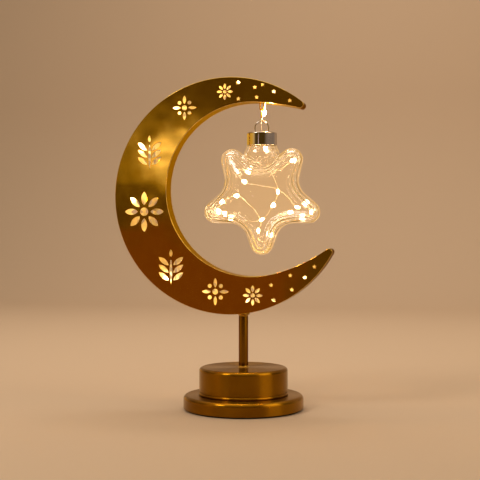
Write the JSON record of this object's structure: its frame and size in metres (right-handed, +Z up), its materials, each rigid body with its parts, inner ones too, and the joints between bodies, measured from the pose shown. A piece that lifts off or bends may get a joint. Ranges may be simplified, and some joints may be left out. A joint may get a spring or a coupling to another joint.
{
  "type": "crescent_table_lamp",
  "caption": "Gold crescent table lamp on a stepped round base, with a clear glass star of fine string lights hanging under its upper arm",
  "frame": {"origin": "centre of the foot ring's underside, on the surface that the lamp stands on", "axes": "+Z up along the stem, +X towards the opening of the crescent, front face towards -Y"},
  "size_m": [0.2047, 0.111, 0.3055],
  "materials": {
    "gold": "polished gold plating",
    "nickel": "polished nickel",
    "clear_glass": "clear, fire polished",
    "steel": "zinc plated",
    "lead": "fine clear-coated copper wire",
    "bead": "clear resin drop, lit",
    "dark_plastic": "fine moulded grain",
    "foam": "closed-cell foam",
    "cell_sleeve": "plain printed sleeve",
    "board": "solder mask",
    "chip": "moulded"
  },
  "bodies": {
    "stand": {"crescent_front_plate": "gold", "crescent_back_plate": "gold", "crescent_outer_rim": "gold", "crescent_inner_rim": "gold", "crescent_light_wire": "lead", "crescent_light_beads": "bead", "hanging_staple": "gold", "stem_tube": "gold", "stem_top_braze": "gold", "stem_foot_braze": "gold", "drum_cover": "gold", "base_disc": "gold", "closing_plate": "dark_plastic", "plate_screws": "steel", "foot_ring": "foam", "battery_box": "dark_plastic", "box_screws": "steel", "battery_cells": "cell_sleeve", "contact_plates": "steel", "contact_springs": "steel", "control_board": "board", "board_chips": "chip", "switch_housing": "steel"},
    "link": {"hanging_link": "gold", "link_lead": "lead", "link_bead": "bead"},
    "star": {"star_bail": "nickel", "star_cap": "nickel", "star_glass": "clear_glass", "star_light_wire": "lead", "star_light_beads": "bead"},
    "door": {"battery_door": "dark_plastic"},
    "knob": {"switch_knob": "chip"}
  },
  "joints": [
    {"name": "link_swing", "type": "hinge", "parent": "stand", "child": "link", "pos_m": [0.0173, 0, 0.27541], "axis": [1, 0, 0], "range_deg": [-50, 50]},
    {"name": "star_swing", "type": "hinge", "parent": "link", "child": "star", "pos_m": [0.0173, 0, 0.26406], "axis": [0, 1, 0], "range_deg": [-20, 20]},
    {"name": "door_hinge", "type": "hinge", "parent": "stand", "child": "door", "pos_m": [0, 0.0234, 0.0024], "axis": [1, 0, 0], "range_deg": [0, 100]},
    {"name": "switch_slide", "type": "slide", "parent": "stand", "child": "knob", "axis": [0, 1, 0], "range_m": [0, 0.004]}
  ]
}
